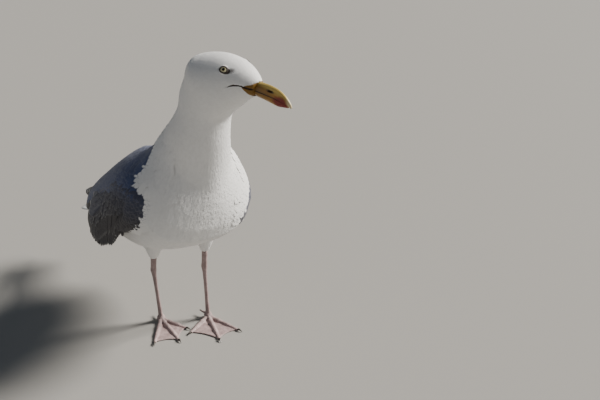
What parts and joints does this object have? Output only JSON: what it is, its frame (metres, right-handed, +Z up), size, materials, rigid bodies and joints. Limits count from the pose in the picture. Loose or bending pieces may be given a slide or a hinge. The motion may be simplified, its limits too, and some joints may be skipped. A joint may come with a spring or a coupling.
{
  "type": "herring gull",
  "caption": "Adult herring gull standing alert with folded wings and its head turned to its left, as a still life-size model.",
  "frame": {"origin": "on the floor, under the middle of the whole gull's bounding box", "axes": "+Z up, -Y the way the breast faces, +X to the gull's left"},
  "size_m": [0.1742, 0.463, 0.3855],
  "materials": {
    "white_plumage": "soft white body feathers",
    "slate_plumage": "slate grey feathers",
    "black_plumage": "stiff black flight feathers",
    "bill": "smooth yellow horn",
    "leg_skin": "scaled pink-grey skin",
    "claw": "dark horn",
    "eye": "wet, pale iris"
  },
  "bodies": {
    "root": {"bill_lower": "bill", "bill_upper": "bill", "claw_hind_left": "claw", "claw_hind_right": "claw", "claw_inner_left": "claw", "claw_inner_right": "claw", "claw_middle_left": "claw", "claw_middle_right": "claw", "claw_outer_left": "claw", "claw_outer_right": "claw", "eye_left": "eye", "eye_right": "eye", "foot_left": "leg_skin", "foot_right": "leg_skin", "head": "white_plumage", "neck": "white_plumage", "primaries_left": "black_plumage", "primaries_right": "black_plumage", "shank_left": "leg_skin", "shank_right": "leg_skin", "tail": "white_plumage", "thigh_left": "white_plumage", "thigh_right": "white_plumage", "trunk": "white_plumage", "wing_left": "slate_plumage", "wing_right": "slate_plumage"}
  },
  "joints": []
}
